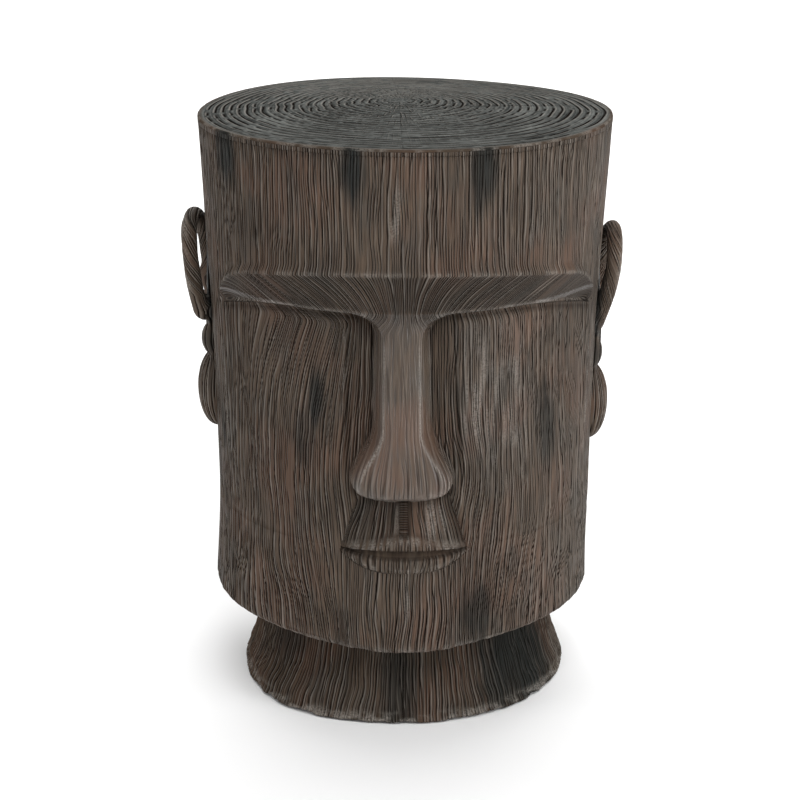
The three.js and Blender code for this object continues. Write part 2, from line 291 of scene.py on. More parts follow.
def brow_relief(angle, z):
    """The brow's ledge and the nose, which rise together from the eye and cheek panels."""
    x = angle * FACE_RADIUS
    crest = crest_height(angle)
    lip = lip_height(angle)
    above = BROW.proud * (1 - smooth(crest + 0.5, crest + 8, z))
    band = lerp(-BROW.back, BROW.proud, np.clip((z - lip) / (crest - lip), 0, 1))
    tucked = 4 * np.clip(1 - (z - nose_bottom(x)) / 10, 0, 1) ** 2
    crown = 0.6 * np.minimum(1, nose_off(x) / nose_edge(z)) ** 2
    front = np.where(z >= lip, band, nose_ridge(z) - (tucked + crown) * (z < BROW.lip - 6))
    climb, _ = socket_edge(x, z, lip)
    climb = np.clip(climb, 0, 1)
    rounded = lerp(climb, np.sin(climb * math.pi / 2), 0.25 + 0.6 * nose_flare(z))
    rise = lerp(rounded, smooth(0, 1, climb), smooth(292, 322, z))
    rise = rise * np.where(z < 254, above_nostrils(x, z), 1)
    below = lerp(floor_relief(angle, z), front, rise)
    return np.where(z >= crest, above, below)


def upper_lip_share(x, z):
    """1 inside the trapezoid hollow between the nose and the mouth."""
    half = lerp(UPPER_LIP.half_top, UPPER_LIP.half_bottom, (UPPER_LIP.top - z) / 44)
    across = 1 - smooth(half - 6, half + 2, np.abs(x))
    low = upper_lip_height(x)
    return across * smooth(low - 2, low + 6, z) * (1 - smooth(194, 204, z))


def fold_share(x, z):
    """Soft raised fold from the right wing down to the corner of the mouth."""
    share = (FOLD.top - z) / (FOLD.top - FOLD.bottom)
    middle = lerp(FOLD.inner, FOLD.outer, share)
    return near(x, middle, FOLD.half) * smooth(0, 0.2, share) * (1 - smooth(0.85, 1.05, share))


def philtrum_share(x, z):
    off = np.abs(x - PHILTRUM.offset)
    return upper_lip_share(x, z) * (1 - smooth(PHILTRUM.half - 2, PHILTRUM.half + 1, off))


def lips_relief(x, z):
    """Two soft bands with a sunken strip between them."""
    across = np.maximum(0, 1 - (x / (MOUTH.half + 3)) ** 2)
    top = upper_lip_height(x)
    bottom = lower_lip_height(x)
    upper = z > MOUTH.height
    share = np.where(
        upper,
        (top - z) / (top - MOUTH.height),
        (z - bottom) / (MOUTH.height - bottom),
    )
    share = np.clip(share, 0, 1)
    fullness = np.where(upper, 3.2 * np.minimum(1, 3 * share), 5 * np.sin(math.pi * share * 0.7))
    parting = parting_height(x)
    sunken = smooth(parting - 0.7, parting + 0.4, z) * (1 - smooth(MOUTH.height, MOUTH.height + 1.4, z))
    return fullness * np.sqrt(across) - MOUTH.depth * sunken * smooth(0, 0.1, across)


def head_radius(angle, z):
    """Radius of the smooth head, before any grain is carved into it."""
    x = angle * FACE_RADIUS
    relief = brow_relief(angle, z) - UPPER_LIP.depth * upper_lip_share(x, z)
    relief = relief - PHILTRUM.depth * philtrum_share(x, z) + lips_relief(x, z)
    relief = relief + FOLD.rise * fold_share(x, z)
    return barrel(z) + out_of_round(angle, z) + relief * in_face(angle)


# ---- carved grain of the head ----

def cheek_bend(x, z):
    """How far the cheek grain is pushed sideways as it runs round the eye hollows and the wings."""
    high = np.maximum(0, z - 230) / 100
    low = np.maximum(0, 230 - z) / 100
    left = 18 * high ** 2 + 6.5 * low ** 2
    right = 5 * high ** 2 - 4 * low ** 2
    bend = np.where(x < 0, left, right) * smooth(30, 60, np.abs(x)) * (1 - smooth(100, 165, np.abs(x)))
    wing = 4 * near(z, 212, 26) * near(np.abs(x), 50, 16) * np.sign(x)
    return (bend + wing) * (1 - smooth(322, 336, z))


def grain_course(angle, z):
    """The angle at which a groove through this place would start: grooves keep one course."""
    x = angle * FACE_RADIUS
    crest = crest_height(angle)
    lip = lip_height(angle)
    coarse = 1 - smooth(110, 200, z)
    waver = (0.5 + 1.8 * coarse) * noise_around(11, angle, 26, z, 34)
    waver = waver + 1.2 * noise_around(12, angle, 60, z, 90)
    plain = x - cheek_bend(x, z) * in_face(angle) + waver
    fan = x + 1.25 * 45 * np.tanh(x / 45) * (crest - np.maximum(z, lip)) / 45 + 0.5 * waver
    nose = (x - NOSE.middle) / (1 + 0.5 * nose_flare(z))
    nose = lerp(fan, nose, smooth(0, 16, lip - z))
    climb, _ = socket_edge(x, z, lip)
    raised = (climb > 0.3) & (z < crest) & (z > nose_bottom(x)) & (in_face(angle) > 0.5)
    lip_fan = x / (1 + 0.3 * (1 - smooth(152, 196, z)))
    course = np.where(raised, nose, plain)
    course = np.where((upper_lip_share(x, z) > 0.3) | on_lips(x, z), lip_fan, course)
    return course / FACE_RADIUS


def on_lips(x, z):
    return (z < upper_lip_height(x) + 3) & (z > lower_lip_height(x) - 0.4) & (np.abs(x) < MOUTH.half)


def in_parting(x, z):
    """True on the smooth strip between the lips."""
    return (z < MOUTH.height + 1) & (z > parting_height(x)) & (np.abs(x) < MOUTH.half)


def grain_strength(angle, z):
    """How deep the lines go: shallow on the nose and the brow's ends, none between the lips."""
    x = angle * FACE_RADIUS
    lip = lip_height(angle)
    face = in_face(angle)
    strength = 0.8 + 0.4 * (1 - smooth(100, 150, z))
    on_nose = smooth(0.1, 0.5, nose_share(x, z) * face) * smooth(0, 12, lip - z)
    strength = lerp(strength, 0.5 - 0.22 * smooth(208, 236, z), on_nose)
    ends = smooth(44, 56, side_of(angle)) * face * (z > lip) * (z < crest_height(angle))
    strength = strength * (1 - 0.65 * ends)
    strength = np.where(on_lips(x, z), 0.75, strength)
    strength = strength * (1 - near(z, upper_lip_height(x) + 1, 2) * (np.abs(x) < MOUTH.half + 2))
    strength = np.where(in_parting(x, z), 0, strength)
    return strength * (1 - philtrum_share(x, z)) * (1 - 0.6 * near(z, jaw_height(angle), 4))


def carve_head(angle, z):
    """The carved lines of the head: depth in millimetres and what the finish needs to know."""
    x = angle * FACE_RADIUS
    course = grain_course(angle, z)
    strength = grain_strength(angle, z)
    fine, fine_amount = comb(21, course, FINE_LINE.spacing, z, 22)
    bold, bold_amount = comb(23, course, BOLD_LINE.spacing, z, 60)
    fine_amount = 1.1 * fine_amount * strength
    bold_amount = 1.2 * bold_amount * strength
    ribs = noise_around(25, course, 5.2, z, 70)
    tiers = noise_around(26, course, 15, z, 90)
    core = (philtrum_share(x, z) > 0.6) & (np.abs(x - PHILTRUM.offset) < 3.6) & (z < PHILTRUM.top)
    fine = np.where(core, z / BAR_SPACING, fine)
    fine_amount = np.where(core, 0.6, fine_amount)
    depth = line_depth((fine, fine_amount), (bold, bold_amount), 0.7, 1.0)
    return {
        "depth": depth - 0.3 * strength * ribs - 0.25 * tiers * (strength > 0.5),
        "fine": (fine, np.clip(fine_amount, 0, 1)),
        "bold": (bold, np.clip(bold_amount, 0, 1)),
        "grain": (course * FACE_RADIUS, z),
        # painted shade in the corners, stored as the groove field
        "groove": painted_recess_shade(angle, z),
    }


def crease_share(x, z, lip):
    """1 along the crease that bounds the left eye's hollow."""
    return (x < 0) * smooth(226, 250, z) * (z < lip - 6)


def painted_recess_shade(angle, z):
    """Painted shade in the corners: under the brow, beside the nose, along the left crease, under the
    nose, round the upper lip's hollow, in the strip between the lips, beside the philtrum and under the
    lower lip.
    """
    x = angle * FACE_RADIUS
    lip = lip_height(angle)
    ragged = 0.75 + 0.25 * noise_around(27, angle, 2.2, z, 8)
    _, hollow = socket_edge(x, z, lip)
    beside = near(hollow * SOCKET.corner, 0.4, 0.9) * smooth(205, 215, z) * smooth(2, 12, lip - z)
    under = near(hollow * SOCKET.corner_drop, 2.5, 2.6) * near(z, lip - 5, 6)
    nostril = np.maximum(near(z, nose_bottom(x) + 0.2, 0.9), 0.8 * near(z, nose_bottom(x) - 8, 5))
    edge = upper_lip_share(x, z)
    trapezoid = edge * (1 - edge) * (z > upper_lip_height(x) + 3)
    crease = near(nose_off(x), SOCKET.crease - 0.8, 0.9) * crease_share(x, z, lip)
    parting = parting_height(x)
    slit = np.maximum.reduce([
        0.7 * ((z < MOUTH.height + 0.5) & (z > parting)),
        0.9 * near(z, MOUTH.height + 0.9, 1.0),
        near(z, parting - 0.2, 1.4),
        0.6 * near(z, parting - 2, 2) * (ragged > 0.8),
    ])
    gutter = near(x, PHILTRUM.offset + 4.8, 1.2) * (philtrum_share(x, z) > 0.02) * (z < PHILTRUM.top)
    under_mouth = near(z, lower_lip_height(x) - 1.5, 1.8) * (np.abs(x) < MOUTH.half - 4)
    painted_shade = np.maximum.reduce([
        beside, 0.8 * crease, 0.8 * under, nostril * (nose_off(x) < NOSE.wing), 2.4 * trapezoid,
        slit * (np.abs(x) < MOUTH.half), 0.7 * gutter, 0.25 * under_mouth,
    ])
    return 0.85 * painted_shade * ragged * in_face(angle)


def wear_and_highlights(angle, z):
    """Pale edges, partly rubbed finish and partly painted highlight: the crest, the lips, the jaw's
    arris and the nose's edges, with painted glints on the nose, painted rim light down the sides of the
    face, painted highlights beside the left crease and the philtrum, and painted sheen streaks.
    """
    x = angle * FACE_RADIUS
    side = side_of(angle)
    face = in_face(angle)
    lip = lip_height(angle)
    climb, _ = socket_edge(x, z, lip)
    nose = nose_share(x, z) * face
    ragged = smooth(-0.7, 0.6, noise_around(31, angle, 3.5, z, 9))
    frayed = smooth(-0.5, 0.5, noise_around(33, angle, 1.6, z, 5))
    # painted glints along the nose's front edges
    glint = 0.25 + 0.5 * smooth(-0.2, 0.7, noise_around(34, angle, 30, z, 26))
    # streaks for the painted sheen
    streaks = smooth(-0.3, 0.6, noise_around(32, grain_course(angle, z), 2.4, z, 18))
    crest = near(z, crest_height(angle) + 0.8, 1.5) * face
    brow = near(climb, 0.9, 0.4) * smooth(-8, 0, z - lip) * (z < lip + 5) * face
    jaw = near(z, jaw_height(angle) + 2, 3)
    nose_line = near(nose_off(x), nose_edge(z) + 0.5, 1.1) * above_wings(z)
    nose_line = nose_line * smooth(0.3, 0.8, nose) * smooth(16, 36, lip - z)
    tip = near(z, nose_bottom(x) + 3, 3) * smooth(0.02, 0.3, nose)
    foot = near(climb, 0.12, 0.12) * smooth(240, 262, z) * smooth(24, 40, lip - z) * face
    # painted rim light down the sides of the face
    side_line = near(side, face_reach(angle) - 0.6, 0.7) * span(190, 215, 290, 306, z)
    # painted highlight on the brink outside the left crease
    brink_highlight = near(nose_off(x), SOCKET.crease + 0.9, 0.8) * crease_share(x, z, lip)
    # painted highlight along the left edge of the philtrum
    philtrum = near(x, PHILTRUM.offset - 5, 1.1) * span(160, 168, 182, 190, z)
    mouth = np.maximum(near(z, lower_lip_height(x) + 2.5, 2.4), near(z, upper_lip_height(x) - 0.5, 2))
    mouth = mouth * np.maximum(0, 1 - (x / MOUTH.half) ** 2) ** 0.3
    return np.maximum.reduce([
        0.35 * crest * ragged, 0.4 * brow * (1 - 0.7 * smooth(40, 56, side)), 0.5 * jaw * ragged,
        glint * nose_line, 0.3 * tip * ragged, 0.2 * foot, 0.5 * side_line * ragged,
        0.3 * brink_highlight * ragged, 0.5 * streaks * stain_amount(angle, z, PAINTED_SHEEN), 0.3 * philtrum,
        0.5 * mouth * frayed,
    ])


def polish(angle, z):
    """Where the sealer lies thick and shines: the nose and the right cheek's panel."""
    x = angle * FACE_RADIUS
    nose = smooth(0, 0.2, nose_share(x, z)) * in_face(angle)
    return np.maximum(nose, 0.4 * span(34, 50, 92, 112, x) * span(190, 240, 318, 334, z))


# Charcoal stains: degrees round from the nose, height, half width, half height, strength.
FACE_STAINS = (
    (-14, 441, 9, 28, 1.0), (21.5, 438, 10, 28, 0.9), (-58, 440, 13, 28, 0.95),
    (-27, 268, 8, 24, 0.9), (-30.5, 232, 10, 26, 0.55), (-70, 222, 8, 22, 0.6),
    (47, 232, 10, 36, 0.7), (18, 253, 5, 26, 0.4), (22, 98, 13, 26, 0.75),
)
# Painted sheen: streaks painted whitish as reflections on the sealer, laid out as the stains are.
PAINTED_SHEEN = (
    (27, 270, 32, 58, 0.6), (21, 258, 13, 34, 1.0), (33, 225, 20, 30, 0.6), (1.5, 112, 6, 24, 0.7),
    (-1.5, 408, 7, 20, 0.7), (38, 400, 8, 18, 0.4), (9, 176, 9, 16, 0.9),
)
NECK_STAINS = ((-2, 30, 15, 44, 0.7), (48, 34, 46, 46, 0.95), (-50, 55, 26, 26, 0.6))


def scattered_stains(seed, count, low, high):
    """The same kind of stain spread over the sides and back."""
    random = np.random.default_rng(seed)
    return tuple(
        (85 + 190 * (i + random.uniform(0.2, 0.8)) / count, random.uniform(low, high),
         random.uniform(8, 15), random.uniform(22, 36), random.uniform(0.5, 0.95))
        for i in range(count)
    )


def stain_amount(angle, z, stains, radius=FACE_RADIUS):
    streaks = 0.5 * noise_around(41, angle, 2.2, z, 40) + 0.35 * noise_around(42, angle, 9, z, 16)
    total = 0
    for middle, height, half_width, half_height, strength in stains:
        turn = (angle - middle * DEGREE + math.pi) % FULL_TURN - math.pi
        far = np.sqrt((turn * radius / half_width) ** 2 + ((z - height) / half_height) ** 2)
        total = np.maximum(total, strength * (1 - smooth(0.45, 1.35, far + 0.45 * streaks)))
    return total


# ---- closed meshes from grids of points ----

def new_piece(name, vertices, faces, uv=None):
    """Links a mesh object from points in millimetres about the table's axis."""
    mesh = bpy.data.meshes.new(name)
    mesh.from_pydata(((vertices + AXIS) * MM).tolist(), [], faces)
    if uv is not None:
        layer = mesh.uv_layers.new(name="OFBake")
        layer.data.foreach_set("uv", np.asarray(uv, np.float32).ravel())
    mesh.validate()
    mesh.shade_smooth()
    piece = bpy.data.objects.new(name, mesh)
    bpy.context.scene.collection.objects.link(piece)
    return piece


def set_field(piece, name, values):
    attribute = piece.data.attributes.new(name, "FLOAT", "POINT")
    attribute.data.foreach_set("value", np.asarray(values, np.float32).ravel())


def set_pair(piece, name, first, second):
    """Stores two numbers per point as a vector for the node materials."""
    first = np.asarray(first, float).ravel()
    vectors = np.stack([first, np.asarray(second, float).ravel(), 0 * first], axis=1)
    attribute = piece.data.attributes.new(name, "FLOAT_VECTOR", "POINT")
    attribute.data.foreach_set("vector", vectors.astype(np.float32).ravel())


FIELDS = ("groove", "stain", "worn", "tone", "grey", "polish")
PAIRS = ("fine", "bold", "grain")


def set_rows(piece, rows, ends=None):
    """Stores the numbers of all rows on the piece, then those of its end points."""
    size = len(rows[0]["points"])
    ends = ends or {}
    for name in FIELDS:
        values = [np.broadcast_to(row.get(name, 0.0), size) for row in rows]
        set_field(piece, name, np.concatenate([*values, ends.get(name, ends.get("other", []))]))
    for name in PAIRS:
        pairs = [row.get(name, (0.0, 0.0)) for row in rows]
        first, second = (
            np.concatenate([*(np.broadcast_to(pair[i], size) for pair in pairs), ends.get("other", [])])
            for i in (0, 1)
        )
        set_pair(piece, name, first, second)


def quads(rows, columns, close_rows, close_columns):
    """The quads of a grid, row by row: the numbers of their corners, and each corner's row and column.

    Seen from outside, the corners of a quad run anticlockwise.
    """
    r, c = np.meshgrid(
        np.arange(rows if close_rows else rows - 1),
        np.arange(columns if close_columns else columns - 1),
        indexing="ij",
    )
    r, c = r.ravel(), c.ravel()
    corners = ((r, c), (r + 1, c), (r + 1, c + 1), (r, c + 1))
    faces = np.stack([(i % rows) * columns + j % columns for i, j in corners], axis=1)
    return faces, [np.stack(corner, axis=1) for corner in corners]


BAKE_MARGIN = 0.004
CAP_STRIP = 0.02


def grid_uv(corners, row_places, columns):
    """Texture places for the quads: rows by their own length, columns evenly."""
    places = []
    for corner in corners:
        u = BAKE_MARGIN + (1 - 2 * BAKE_MARGIN) * corner[:, 1] / columns
        v = CAP_STRIP + (1 - CAP_STRIP - BAKE_MARGIN) * row_places[corner[:, 0]]
        places.append(np.stack([u, v], axis=1))
    return np.stack(places, axis=1).reshape(-1, 2)


def row_shares(points, close_rows):
    """How far round each row lies, from 0 to 1, measured down the middle column."""
    middle = points[:, points.shape[1] // 2]
    line = np.vstack([middle, middle[:1]]) if close_rows else middle
    steps = np.linalg.norm(np.diff(line, axis=0), axis=1)
    return np.concatenate([[0], np.cumsum(steps)]) / steps.sum()


def cap_uv(count, slot):
    """A small strip of the texture for a flat end that is hidden in a joint."""
    u = BAKE_MARGIN + 0.45 * slot + 0.4 * np.arange(count) / count
    v = BAKE_MARGIN + 0.5 * (CAP_STRIP - 2 * BAKE_MARGIN) * (1 + np.sin(np.arange(count)))
    return np.stack([u, v], axis=1)


def half_shell(name, points):
    """A casting whose rows close on themselves and whose two side edges are flat."""
    rows, columns = points.shape[:2]
    faces, corners = quads(rows, columns, True, False)
    first = [row * columns for row in reversed(range(rows))]
    last = [row * columns + columns - 1 for row in range(rows)]
    uv = np.vstack([
        grid_uv(corners, row_shares(points, True), columns - 1),
        cap_uv(rows, 0), cap_uv(rows, 1),
    ])
    return new_piece(name, points.reshape(-1, 3), faces.tolist() + [first, last], uv)


def turned_ring(name, points):
    """A ring whose rows and columns both close on themselves."""
    rows, columns = points.shape[:2]
    faces, corners = quads(rows, columns, True, True)
    uv = grid_uv(corners, row_shares(points, True), columns)
    return new_piece(name, points.reshape(-1, 3), faces.tolist(), uv)


def fans(rows, columns):
    """Triangles from a point inside the first row of a grid, and from one inside the last."""
    start = rows * columns
    below = start - columns
    faces = []
    for c in range(columns):
        beside = (c + 1) % columns
        faces += [[start, c, beside], [start + 1, below + beside, below + c]]
    return faces


def turned_disc(name, points, ends):
    """A disc whose columns close on themselves, with a point in the middle of each side."""
    rows, columns = points.shape[:2]
    faces, corners = quads(rows, columns, False, True)
    uv = [grid_uv(corners, row_shares(points, False), columns)] + [cap_uv(3, 0), cap_uv(3, 1)] * columns
    vertices = np.vstack([points.reshape(-1, 3), ends])
    return new_piece(name, vertices, faces.tolist() + fans(rows, columns), np.vstack(uv))


def on_wall(angle, radius, z):
    """Points round the axis, counted from the middle of the face towards +X."""
    return np.stack(np.broadcast_arrays(radius * np.sin(angle), -radius * np.cos(angle), z), axis=-1)


# ---- head castings ----

SHELL_TOP = HEIGHT - SLAB_EDGE - HIDDEN_GAP
EDGE_RISE = 6  # height of the rounded edge along the jaw

# Level lines of the head from the jaw up, each with the number of rows up to the next one.
LEVELS = (
    (lambda a: jaw_height(a) + EDGE_RISE, 8),
    (106, 6),
    (128, 4),
    (lambda a: lower_lip_height(a * FACE_RADIUS) - 0.8, 1),
    (lambda a: lower_lip_height(a * FACE_RADIUS), 6),
    (lambda a: parting_height(a * FACE_RADIUS) - 0.7, 6),
    (MOUTH.height, 2),
    (MOUTH.height + 1.5, 5),
    (lambda a: upper_lip_height(a * FACE_RADIUS), 4),
    (172, 7),
    (194, 7),
    (204, 4),
    (212, 14),
    (254, 14),
    (lambda a: lip_height(a) - 26, 11),
    (lambda a: lip_height(a) - BROW.step, 5),
    (lip_height, 22),
    (crest_height, 3),
    (lambda a: crest_height(a) + 4, 3),
    (lambda a: np.maximum(crest_height(a) + 10, 352), 9),
    (395, 8),
    (SHELL_TOP, 1),
)


def feature_rows(angle):
    """Heights of all rows at these angles: on the features in the face, even elsewhere."""
    reach = face_reach(angle)
    side = side_of(angle)
    capped = np.sign(angle) * np.minimum(side, reach) * DEGREE
    levels = [level(capped) if callable(level) else level + 0 * capped for level, _ in LEVELS]
    rows = []
    for low, high, (_, count) in zip(levels, levels[1:], LEVELS):
        rows.extend(lerp(low, high, i / count) for i in range(count))
    rows.append(levels[-1])
    even = lerp(JAW.high + EDGE_RISE, SHELL_TOP, np.linspace(0, 1, len(rows)))[:, None]
    return lerp(np.array(rows), even, smooth(reach - 2, reach + 12, side))


def spread_columns(low, high, spacing_at):
    """Angles from low to high, closer together where spacing_at says so, in millimetres."""
    fine = np.linspace(low, high, 4001)
    density = 1 / spacing_at(fine)
    total = np.concatenate([[0], np.cumsum((density[1:] + density[:-1]) / 2)])
    count = int(total[-1] * (high - low) / 4000 * FACE_RADIUS)
    return np.interp(np.linspace(0, total[-1], count), total, fine)


def jaw_edge_rows(angle, radius_above):
    """The rounded edge under the jaw, then the flat underside in to the neck's hole."""
    chips = 0.7 * noise_around(51, angle, 7) + 0.4 * noise_around(52, angle, 3)
    rows = []
    for share in np.linspace(0, 1, 8)[1:]:
        turn = share * math.pi / 2
        inward = JAW.edge * (1 - math.cos(turn)) * (0.9 + 0.15 * share)
        z = jaw_height(angle) + EDGE_RISE * (1 - math.sin(turn)) + chips * share
        rows.append((radius_above - inward + 0.4 * chips * share, z))
    return rows + [(JAW.seat, JAW.underside), (NECK_HOLE, JAW.underside)]


def hollow_radius(angle, z):
    side = side_of((angle + math.pi) % FULL_TURN - math.pi)
    thinner = (1 - smooth(48, 84, side)) * span(150, 250, 352, 400, z)
    return barrel(z) + out_of_round(angle, z) - WALL - PANEL.depth * thinner


def hollow_rows(angle):
    """Up the neck's hole, out over its shelf and up the inside of the wall to the top."""
    shelf = JAW.underside + WALL
    heights = (shelf, 104, 150, 200, 250, 300, 350, 400, SHELL_TOP)
    return [(NECK_HOLE, shelf)] + [(hollow_radius(angle, z), z) for z in heights]


def head_shell(name, node, columns, stains):
    """One half of the head: the carved outside, the edge under the jaw and the hollow."""
    outer_z = feature_rows(columns)
    angle = np.broadcast_to(columns, outer_z.shape)
    carved = carve_head(angle, outer_z)
    outer = head_radius(angle, outer_z) - carved["depth"]
    inner_rows = jaw_edge_rows(columns, outer[0]) + hollow_rows(columns)
    rows = [*zip(outer[::-1], outer_z[::-1]), *inner_rows]
    piece = half_shell(name, np.array([on_wall(columns, radius, z) for radius, z in rows]))
    inner_z = np.array([z + 0 * columns for _, z in inner_rows])
    inner_angle = angle[:len(inner_rows)]
    below = carve_head(inner_angle, inner_z)

    def whole(outside, inside):
        return np.vstack([outside[::-1], inside + 0 * inner_z])

    def over_all(amount, *more):
        return whole(amount(angle, outer_z, *more), amount(inner_angle, inner_z, *more))

    worn = over_all(wear_and_highlights)
    worn[len(outer_z):] *= inner_z < JAW.underside
    set_field(piece, "groove", whole(carved["groove"], 0))
    set_field(piece, "stain", over_all(stain_amount, stains))
    set_field(piece, "worn", worn)
    set_field(piece, "tone", whole(head_shade_and_tone(angle, outer_z), -0.3))
    set_field(piece, "polish", whole(polish(angle, outer_z), 0))
    for pair in PAIRS:
        set_pair(piece, pair, *(whole(carved[pair][i], below[pair][i]) for i in (0, 1)))
    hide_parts(node)
    return piece


def head_shade_and_tone(angle, z):
    """Broad painted shade and tone: the brow band and the nose's top painted darker, painted shadow in
    the hollows beside the nose, painted shade on the brow's outer ends and corners and on the left of
    the upper lip with a little painted light on its right, darker sides, a slightly darker nose and
    random tone.
    """
    x = angle * FACE_RADIUS
    left = x < 0
    side = side_of(angle)
    face = in_face(angle)
    lip = lip_height(angle)
    crest = crest_height(angle)
    nose = nose_share(x, z) * face
    _, hollow = socket_edge(x, z, lip)
    band = smooth(-1, 2, z - lip) * (1 - smooth(-2, 1, z - crest)) * face
    band = np.maximum(band, 0.9 * smooth(-26, 0, z - lip) * smooth(0, 0.5, nose) * (z < lip))
    beside = (hollow > 0) * (1 - smooth(44.5, 46.5, nose_off(x)))
    beside = beside * above_wings(z) * (z < lip) * face
    # Painted shade: the brow band, where it faces down, and the nose's top below it, more on the right;
    # the nose a little darker.
    tone = -np.where(left, 0.65, 0.85) * band - 0.05 * smooth(0, 0.6, nose) * smooth(0, 20, lip - z)
    # Painted shadow in the hollows beside the nose, most on the left.
    tone = tone - np.where(left, 0.2, 0.05) * beside
    # Painted shade on the brow's outer ends; the sides of the head, about 84 degrees round, darker.
    tone = tone - 0.35 * smooth(50, 58, side) * near(z, lip, 12) * face - 0.35 * near(side, 84, 24)
    # Painted shade on the brow's upper outer corners.
    tone = tone - 0.5 * smooth(50, 57, side) * near(z, crest + 2, 6) * face
    # Painted shade on the left of the upper lip's hollow, a little painted light on its right.
    tone = tone - 0.45 * upper_lip_share(x, z) * np.where(x < PHILTRUM.offset, 1, -0.2)
    return tone + 0.2 * noise_around(61, angle, 30, z, 45) + 0.12 * noise_around(62, angle, 9, z, 60)


def head_castings():
    def front_spacing(angle):
        return np.where(side_of(angle) < 35, 0.66, np.where(side_of(angle) < 70, 0.85, 1.5))

    front = spread_columns(-math.pi / 2, math.pi / 2, front_spacing)
    back = spread_columns(math.pi / 2, 3 * math.pi / 2, lambda angle: 0.95 + 0 * angle)
    return [
        head_shell("face_casting", "face_shell", front, FACE_STAINS + scattered_stains(5, 7, 150, 420)),
        head_shell("back_casting", "back_shell", back, scattered_stains(5, 7, 150, 420)),
    ]


# ---- tabletop ----

PITH = np.array([-4.0, 54.0])
CHECK = Named(y=26, start=-75, end=138)  # a long crack across the rings
RIM_ROUND = 1.6
RING_SPACING = 5.8
TOP_RADIUS = 150  # nominal, for the spacing of the rings and rays
RAY_ZONE = 8  # the number of rays doubles each time the distance from the pith passes 2, 4, 8 of these


def top_noise(seed, angle, spacing, along=0, length=1):
    return noise_around(seed, angle, spacing, along, length, TOP_RADIUS)


def ray_lines(angle, reach):
    """Short radial cuts: a phase that is whole on each cut, and their presence."""
    zone = np.log2(np.maximum(reach, RAY_ZONE) / RAY_ZONE)
    count = 24 * 2 ** np.floor(zone).astype(int)
    phase = angle / FULL_TURN * count + 0.25 * top_noise(73, angle, 24, reach, 12)
    presence = smooth(-0.2, 0.4, lattice_noise(74, np.round(phase) % count, reach / 6))
    joined = np.abs(zone - np.round(zone)) * reach * math.log(2)
    return phase, presence * smooth(0.6, 2.4, joined) * lerp(1.0, 0.25, smooth(40, 100, reach))


def growth_rings(angle, share, x, y):
    """Log-end relief: rings, short radial cuts and one long check."""
    reach = share * TOP_RADIUS
    ring = (reach + 1.4 * top_noise(71, angle, 26, reach, 22)) / RING_SPACING
    ring_amount = smooth(-0.8, -0.1, top_noise(72, angle, 8, np.round(ring))) * smooth(3, 16, reach)
    ray, ray_amount = ray_lines(angle, reach)
    wander = 0.9 * top_noise(76, x / TOP_RADIUS, 9)
    along = span(CHECK.start, CHECK.start + 25, CHECK.end - 30, CHECK.end, x)
    check = near(y - CHECK.y - wander, 0, 1.1) * along
    swell = top_noise(77, angle, 60, ring, 3)
    depth = line_depth((ring, ring_amount), (ray, ray_amount), 0.8, 0.4)
    return {
        "depth": depth - 0.3 * swell + 0.9 * check,
        "fine": (ring, ring_amount),
        "bold": (ray, ray_amount),
        "groove": check,
        "tone": 0.35 * swell + 0.55 * top_noise(78, angle, 4, reach, 2.1),
    }


def tabletop_rows(columns, edge):
    """The carved flat of the tabletop, from the pith out to its rounded rim."""
    direction = on_wall(columns, 1, 0)[:, :2]
    inner_edge = direction * (edge - RIM_ROUND)[:, None]
    rows = []
    for share in np.linspace(0.012, 1, 136):
        flat = PITH + share * (inner_edge - PITH)
        carved = growth_rings(columns, share, flat[:, 0], flat[:, 1])
        fade = 1 - smooth(0.98, 1, share)
        height = HEIGHT - 0.35 - carved["depth"] * fade + 0.35 * (1 - fade)
        rows.append({
            "points": np.column_stack([flat, height]),
            "groove": carved["groove"] * fade,
            "fine": (carved["fine"][0], carved["fine"][1] * fade),
            "bold": (carved["bold"][0], carved["bold"][1] * fade),
            "grain": (share * TOP_RADIUS, columns * 60),
            "tone": carved["tone"] + 0.2 * noise_around(84, columns, 40, share * TOP_RADIUS, 50),
            "worn": 0.15 * (1 - fade),
            "grey": 1 - 0.6 * smooth(0.985, 1, share),
            "polish": -0.6,
        })
    return rows


def rim_rows(columns, edge):
    """The smooth rounded rim, rubbed pale, with a painted highlight towards the front right."""
    ripple = 0.35 * noise_around(81, columns, 8) + 0.5 * noise_around(82, columns, 30)
    rubbed_and_highlit = smooth(-0.6, 0.6, noise_around(83, columns, 5))
    # painted glint on the rim towards the front right
    rubbed_and_highlit = rubbed_and_highlit * (0.35 + 0.35 * near(columns, 20 * DEGREE, 9 * DEGREE))
    rows = []
    for turn in np.linspace(0, math.pi / 2, 7)[1:]:
        out = edge - RIM_ROUND * (1 - math.sin(turn)) + 0.6 * ripple * math.sin(turn)
        rows.append({
            "points": on_wall(columns, out, HEIGHT - RIM_ROUND * (1 - math.cos(turn))),
            "worn": rubbed_and_highlit,
            "tone": -0.15,
            "stain": stain_amount(columns, HEIGHT - 5, FACE_STAINS),
            "grey": 0.35 * (1 - math.sin(turn)),
            "polish": -0.45,
            "grain": (60 * turn, columns * 60),
        })
    return rows


